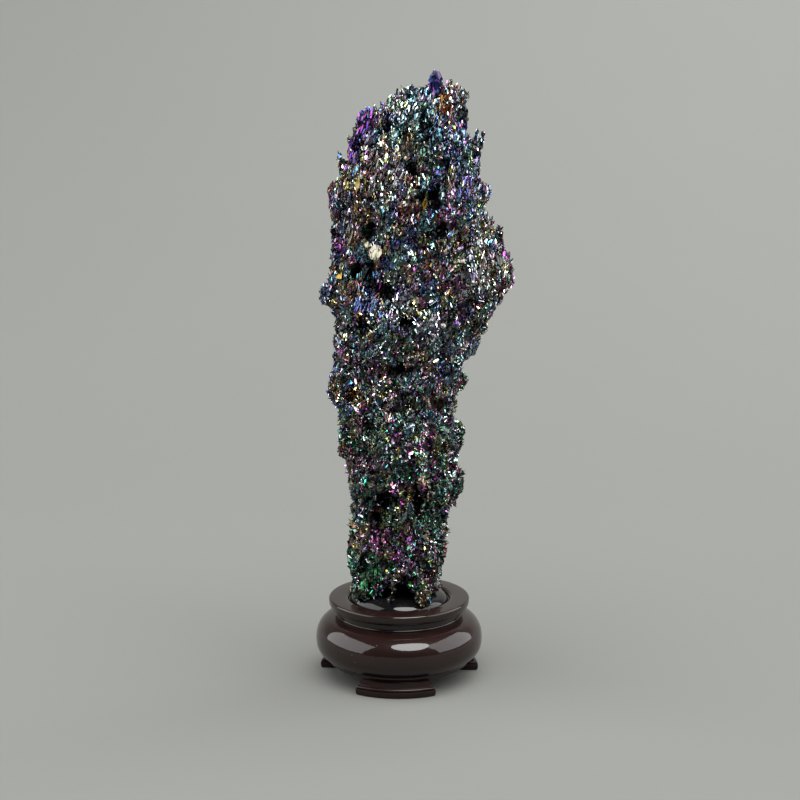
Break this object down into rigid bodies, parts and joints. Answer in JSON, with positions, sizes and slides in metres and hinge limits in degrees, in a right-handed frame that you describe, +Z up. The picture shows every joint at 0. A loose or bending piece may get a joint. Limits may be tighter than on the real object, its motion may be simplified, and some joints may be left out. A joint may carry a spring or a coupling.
{
  "type": "chalcopyrite specimen on a stand",
  "caption": "Tall rough iridescent crystal mass set in glossy black resin in the shallow bowl of a round, dark lacquered wooden display stand with stepped feet.",
  "frame": {"origin": "on the surface it stands on, under the centre of the whole object's bounding box; the stand's turning axis is 8 mm to the left of it (-X)", "axes": "+Z up, -Y the front that the specimen shows, +X to the right when seen from the front"},
  "size_m": [0.1054, 0.09, 0.3189],
  "materials": {
    "crystal_mass": "polished",
    "lacquered_wood": "gloss",
    "black_resin": "gloss"
  },
  "bodies": {
    "root": {"specimen": "crystal_mass", "stand_body": "lacquered_wood", "foot_front": "lacquered_wood", "foot_back_right": "lacquered_wood", "foot_back_left": "lacquered_wood", "setting": "black_resin"}
  },
  "joints": []
}
